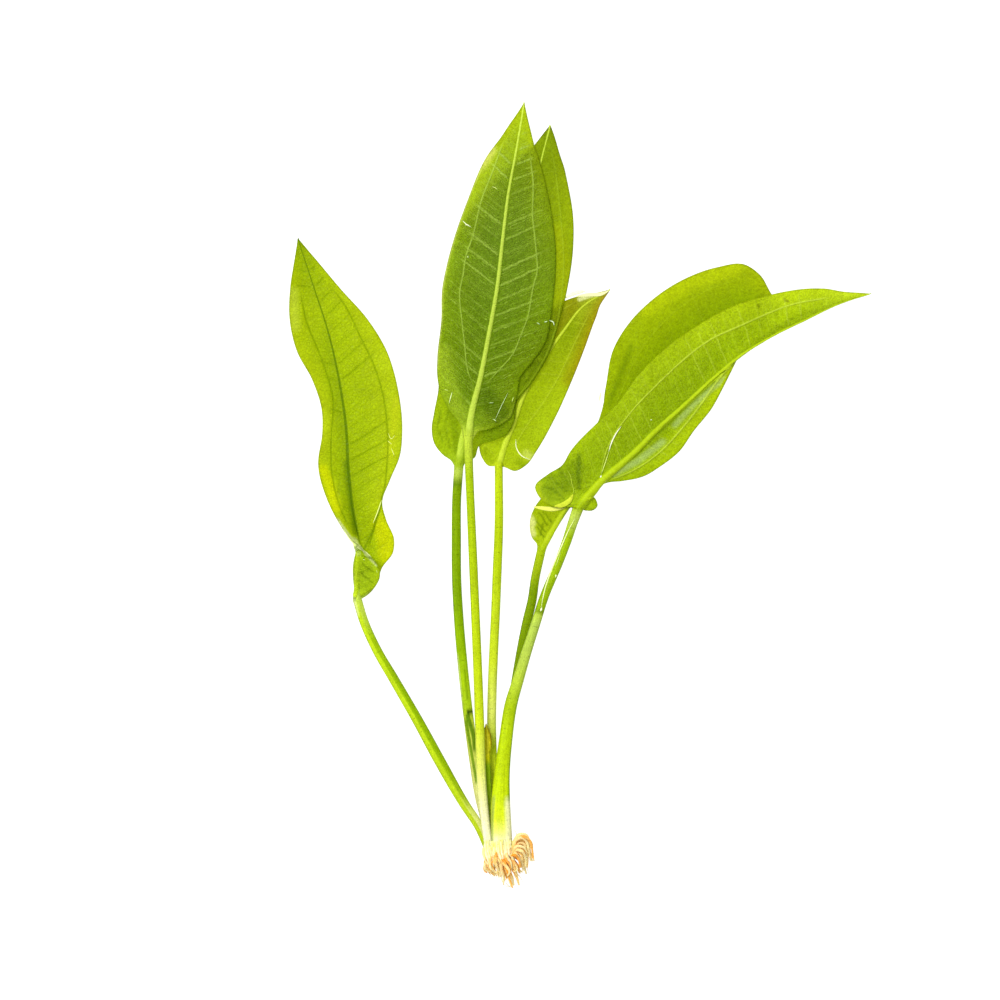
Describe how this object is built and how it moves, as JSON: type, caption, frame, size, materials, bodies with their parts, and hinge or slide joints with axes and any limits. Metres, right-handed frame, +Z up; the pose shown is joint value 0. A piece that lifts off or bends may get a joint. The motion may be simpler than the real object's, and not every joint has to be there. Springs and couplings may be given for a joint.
{
  "type": "amazon sword plant",
  "caption": "Bare aquarium sword plant lying flat: broad pointed leaves on long stalks spread as a fan from a short crown with trimmed roots.",
  "frame": {"origin": "on the surface the plant lies on, under the centre of its outline", "axes": "+Y along the plant from the roots to the leaf tips, +Z up from the surface, +X to the plant's right as seen from above"},
  "size_m": [0.185, 0.2504, 0.0097],
  "materials": {
    "leaf": "satin",
    "young_leaf": "satin",
    "crown": "matte",
    "root": "matte"
  },
  "bodies": {
    "root": {"left_leaf": "leaf", "front_centre_leaf": "leaf", "back_centre_leaf": "leaf", "right_centre_leaf": "leaf", "front_right_leaf": "leaf", "back_right_leaf": "leaf", "young_leaf": "young_leaf", "crown": "crown", "root_01": "root", "root_02": "root", "root_03": "root", "root_04": "root", "root_05": "root", "root_06": "root", "root_07": "root", "root_08": "root", "root_09": "root", "root_10": "root"}
  },
  "joints": []
}
